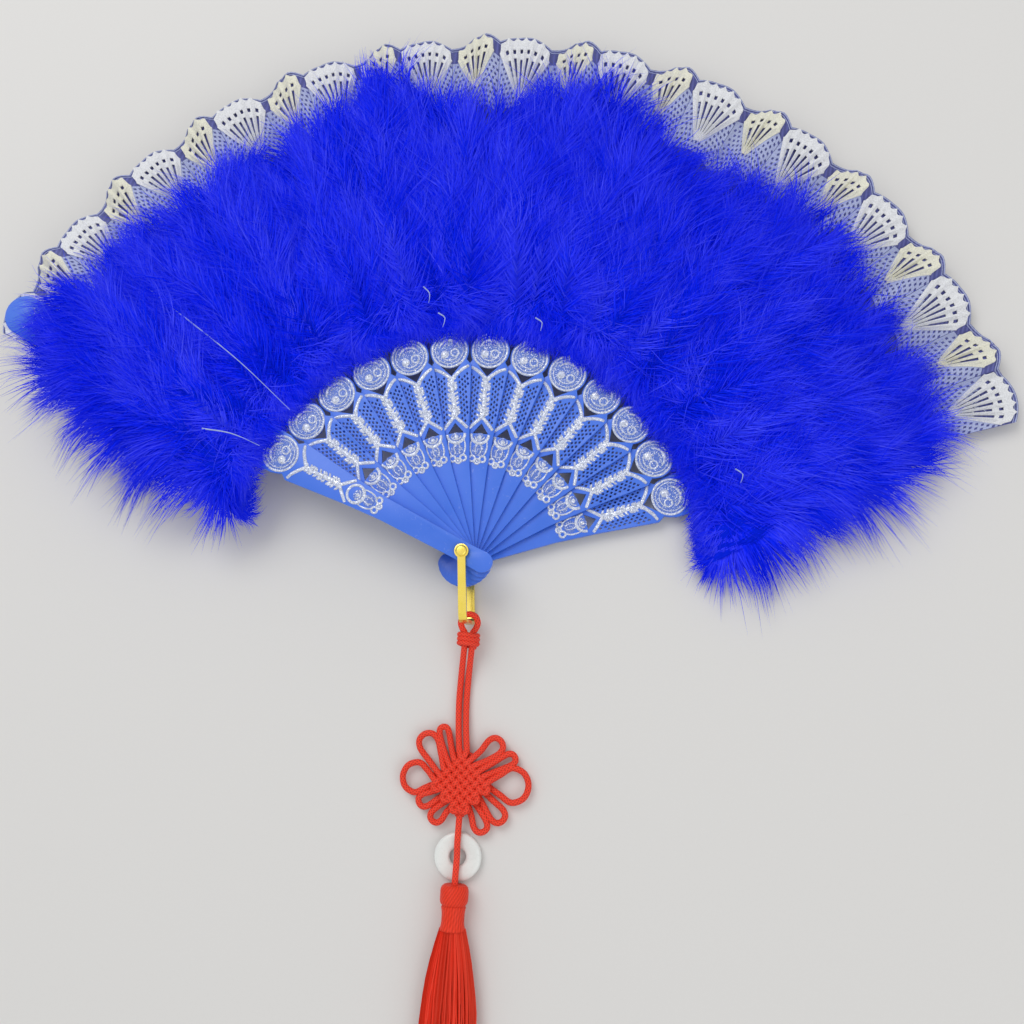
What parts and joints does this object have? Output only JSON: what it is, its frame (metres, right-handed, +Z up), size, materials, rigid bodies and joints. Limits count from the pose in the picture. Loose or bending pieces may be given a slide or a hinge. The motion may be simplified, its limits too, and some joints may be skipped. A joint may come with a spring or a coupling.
{
  "type": "folding fan",
  "caption": "Folding hand fan with carved plastic sticks, a feather-trimmed pleated leaf with a scalloped edge, a metal bail, and a knotted cord with a ring and tassel.",
  "frame": {"origin": "middle of the pivot pin's lower face, which the open fan stands on", "axes": "+Z up along the pin, the open leaf spreads around +Y, and +X runs towards the rear guard's side"},
  "size_m": [0.4036, 0.4093, 0.0307],
  "materials": {
    "stick_plastic": "moulded blue plastic, raised pattern in silver glitter",
    "leaf_cloth": "thin woven cloth with a cream lace edge",
    "feather_down": "dyed down, matte and fluffy",
    "gold_metal": "polished gold-coloured metal",
    "red_cord": "braided satin cord and thread",
    "white_stone": "polished, white"
  },
  "bodies": {
    "front_guard_body": {"front_guard": "stick_plastic", "leaf_panel_1": "leaf_cloth", "feathers_1": "feather_down", "pivot_pin": "gold_metal", "leaf_fold_1": "leaf_cloth"},
    "rib_2_body": {"rib_2": "stick_plastic", "leaf_panel_2": "leaf_cloth", "feathers_2": "feather_down", "leaf_fold_2": "leaf_cloth"},
    "rib_3_body": {"rib_3": "stick_plastic", "leaf_panel_3": "leaf_cloth", "feathers_3": "feather_down", "leaf_fold_3": "leaf_cloth"},
    "rib_4_body": {"rib_4": "stick_plastic", "leaf_panel_4": "leaf_cloth", "feathers_4": "feather_down", "leaf_fold_4": "leaf_cloth"},
    "rib_5_body": {"rib_5": "stick_plastic", "leaf_panel_5": "leaf_cloth", "feathers_5": "feather_down", "leaf_fold_5": "leaf_cloth"},
    "rib_6_body": {"rib_6": "stick_plastic", "leaf_panel_6": "leaf_cloth", "feathers_6": "feather_down", "leaf_fold_6": "leaf_cloth"},
    "rib_7_body": {"rib_7": "stick_plastic", "leaf_panel_7": "leaf_cloth", "feathers_7": "feather_down", "leaf_fold_7": "leaf_cloth"},
    "rib_8_body": {"rib_8": "stick_plastic", "leaf_panel_8": "leaf_cloth", "feathers_8": "feather_down", "leaf_fold_8": "leaf_cloth"},
    "rib_9_body": {"rib_9": "stick_plastic", "leaf_panel_9": "leaf_cloth", "feathers_9": "feather_down", "leaf_fold_9": "leaf_cloth"},
    "rib_10_body": {"rib_10": "stick_plastic", "leaf_panel_10": "leaf_cloth", "feathers_10": "feather_down", "leaf_fold_10": "leaf_cloth"},
    "rib_11_body": {"rib_11": "stick_plastic", "leaf_panel_11": "leaf_cloth", "feathers_11": "feather_down", "leaf_fold_11": "leaf_cloth"},
    "rib_12_body": {"rib_12": "stick_plastic", "leaf_panel_12": "leaf_cloth", "feathers_12": "feather_down", "leaf_fold_12": "leaf_cloth"},
    "rear_guard_body": {"rear_guard": "stick_plastic", "leaf_panel_13": "leaf_cloth", "feathers_13": "feather_down"},
    "bail_body": {"bail": "gold_metal"},
    "tassel_body": {"cord_upper": "red_cord", "cord_tie": "red_cord", "cord_knot": "red_cord", "white_ring": "white_stone", "cord_lower": "red_cord", "tassel_head": "red_cord", "tassel_skirt": "red_cord"}
  },
  "joints": [
    {"name": "fan_fold", "type": "hinge", "parent": "front_guard_body", "child": "rib_2_body", "pos_m": [0, 0, 0], "axis": [0, 0, 1], "range_deg": [0, 11.28], "deforming": ["leaf_fold_1", "feathers_2"]},
    {"name": "fan_fold_3", "type": "hinge", "parent": "rib_2_body", "child": "rib_3_body", "pos_m": [0, 0, 0], "axis": [0, 0, 1], "range_deg": [0, 11.28], "deforming": ["leaf_fold_2", "feathers_3"]},
    {"name": "fan_fold_4", "type": "hinge", "parent": "rib_3_body", "child": "rib_4_body", "pos_m": [0, 0, 0], "axis": [0, 0, 1], "range_deg": [0, 11.28], "deforming": ["leaf_fold_3", "feathers_4"]},
    {"name": "fan_fold_5", "type": "hinge", "parent": "rib_4_body", "child": "rib_5_body", "pos_m": [0, 0, 0], "axis": [0, 0, 1], "range_deg": [0, 11.28], "deforming": ["leaf_fold_4", "feathers_5"]},
    {"name": "fan_fold_6", "type": "hinge", "parent": "rib_5_body", "child": "rib_6_body", "pos_m": [0, 0, 0], "axis": [0, 0, 1], "range_deg": [0, 11.28], "deforming": ["leaf_fold_5", "feathers_6"]},
    {"name": "fan_fold_7", "type": "hinge", "parent": "rib_6_body", "child": "rib_7_body", "pos_m": [0, 0, 0], "axis": [0, 0, 1], "range_deg": [0, 11.28], "deforming": ["leaf_fold_6", "feathers_7"]},
    {"name": "fan_fold_8", "type": "hinge", "parent": "rib_7_body", "child": "rib_8_body", "pos_m": [0, 0, 0], "axis": [0, 0, 1], "range_deg": [0, 11.28], "deforming": ["leaf_fold_7", "feathers_8"]},
    {"name": "fan_fold_9", "type": "hinge", "parent": "rib_8_body", "child": "rib_9_body", "pos_m": [0, 0, 0], "axis": [0, 0, 1], "range_deg": [0, 11.28], "deforming": ["leaf_fold_8", "feathers_9"]},
    {"name": "fan_fold_10", "type": "hinge", "parent": "rib_9_body", "child": "rib_10_body", "pos_m": [0, 0, 0], "axis": [0, 0, 1], "range_deg": [0, 11.28], "deforming": ["leaf_fold_9", "feathers_10"]},
    {"name": "fan_fold_11", "type": "hinge", "parent": "rib_10_body", "child": "rib_11_body", "pos_m": [0, 0, 0], "axis": [0, 0, 1], "range_deg": [0, 11.28], "deforming": ["leaf_fold_10", "feathers_11"]},
    {"name": "fan_fold_12", "type": "hinge", "parent": "rib_11_body", "child": "rib_12_body", "pos_m": [0, 0, 0], "axis": [0, 0, 1], "range_deg": [0, 11.28], "deforming": ["leaf_fold_11", "feathers_12"]},
    {"name": "fan_fold_13", "type": "hinge", "parent": "rib_12_body", "child": "rear_guard_body", "pos_m": [0, 0, 0], "axis": [0, 0, 1], "range_deg": [0, 11.28], "deforming": ["leaf_fold_12", "feathers_13"]},
    {"name": "bail_swing", "type": "hinge", "parent": "front_guard_body", "child": "bail_body", "pos_m": [0, 0, 0], "axis": [0, 0, 1], "range_deg": [-60, 60]},
    {"name": "tassel_swing", "type": "hinge", "parent": "bail_body", "child": "tassel_body", "pos_m": [0.00346, -0.02557, 0], "axis": [0, 0, 1], "range_deg": [-30, 30]}
  ],
  "couplings": [
    {"joint": "fan_fold_3", "follows": "fan_fold", "ratio": 1},
    {"joint": "fan_fold_4", "follows": "fan_fold", "ratio": 1},
    {"joint": "fan_fold_5", "follows": "fan_fold", "ratio": 1},
    {"joint": "fan_fold_6", "follows": "fan_fold", "ratio": 1},
    {"joint": "fan_fold_7", "follows": "fan_fold", "ratio": 1},
    {"joint": "fan_fold_8", "follows": "fan_fold", "ratio": 1},
    {"joint": "fan_fold_9", "follows": "fan_fold", "ratio": 1},
    {"joint": "fan_fold_10", "follows": "fan_fold", "ratio": 1},
    {"joint": "fan_fold_11", "follows": "fan_fold", "ratio": 1},
    {"joint": "fan_fold_12", "follows": "fan_fold", "ratio": 1},
    {"joint": "fan_fold_13", "follows": "fan_fold", "ratio": 1}
  ]
}
